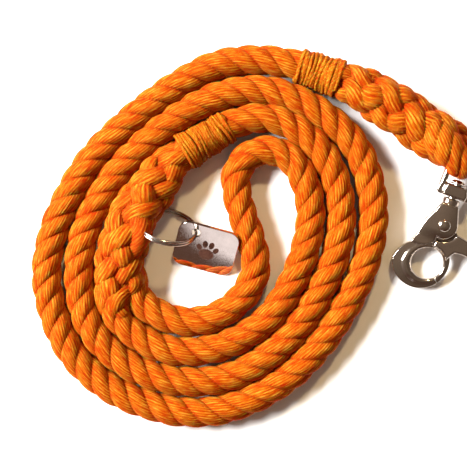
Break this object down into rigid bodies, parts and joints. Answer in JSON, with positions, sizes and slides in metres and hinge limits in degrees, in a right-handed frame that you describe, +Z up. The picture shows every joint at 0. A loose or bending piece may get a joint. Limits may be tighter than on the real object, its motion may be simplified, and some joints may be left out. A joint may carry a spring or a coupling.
{
  "type": "training leash",
  "caption": "Short rope training leash laid in a flat spiral, with a spliced hand loop, a swivel snap hook, and a split ring with a tag.",
  "frame": {"origin": "on the surface that the leash lies on, at the centre of its outline", "axes": "+Z up, square to that surface; +X across the spiral towards the snap hook; +Y towards the hook-end whipping"},
  "size_m": [0.1987, 0.1695, 0.0244],
  "materials": {
    "rope_cotton": "soft three-strand laid cotton, fluffy",
    "twine_cotton": "thin cotton twine, wound tight",
    "snap_nickel": "cast and polished nickel plate",
    "fixing_steel": "polished nickel plate",
    "spring_steel": "drawn spring wire",
    "ring_nickel": "polished nickel-plated spring wire",
    "tag_metal": null
  },
  "bodies": {
    "leash": {"rope_line": "rope_cotton", "handle_loop": "rope_cotton", "hook_splice": "rope_cotton", "handle_splice": "rope_cotton", "hook_eye": "rope_cotton", "hook_whipping": "twine_cotton", "handle_whipping": "twine_cotton"},
    "bail": {"swivel_bail": "snap_nickel"},
    "hook": {"hook_frame": "snap_nickel", "swivel_pin": "fixing_steel", "swivel_washer": "fixing_steel", "pivot_rivet": "fixing_steel", "jaw_spring": "spring_steel"},
    "trigger": {"trigger_jaw": "snap_nickel"},
    "ring": {"split_ring": "ring_nickel"},
    "tag": {"tag": "tag_metal"}
  },
  "joints": [
    {"name": "bail_swing", "type": "hinge", "parent": "leash", "child": "bail", "pos_m": [0.08704, 0.0352, 0.0109], "axis": [0.7416, 0.6604, 0.1183], "range_deg": [-60, 60]},
    {"name": "hook_swivel", "type": "hinge", "parent": "bail", "child": "hook", "pos_m": [0.0823, 0.0058, 0.00695], "axis": [0.3406, 0.9306, 0.134], "continuous": true},
    {"name": "trigger_pivot", "type": "hinge", "parent": "hook", "child": "trigger", "pos_m": [0.0829, 0.00558, 0.00695], "axis": [-0.046, -0.1258, 0.991], "range_deg": [0, 25], "stiffness_Nm_per_rad": 0.08, "springref_deg": -20.05},
    {"name": "ring_swing", "type": "hinge", "parent": "leash", "child": "ring", "pos_m": [-0.04824, 0.00704, 0.01235], "axis": [0.2183, 0.8147, 0.5373], "range_deg": [-25, 0.5]},
    {"name": "tag_swing", "type": "hinge", "parent": "ring", "child": "tag", "pos_m": [-0.02681, 0.00231, 0.01082], "axis": [-0.141, -0.5261, 0.8387], "range_deg": [-45, 4]}
  ]
}
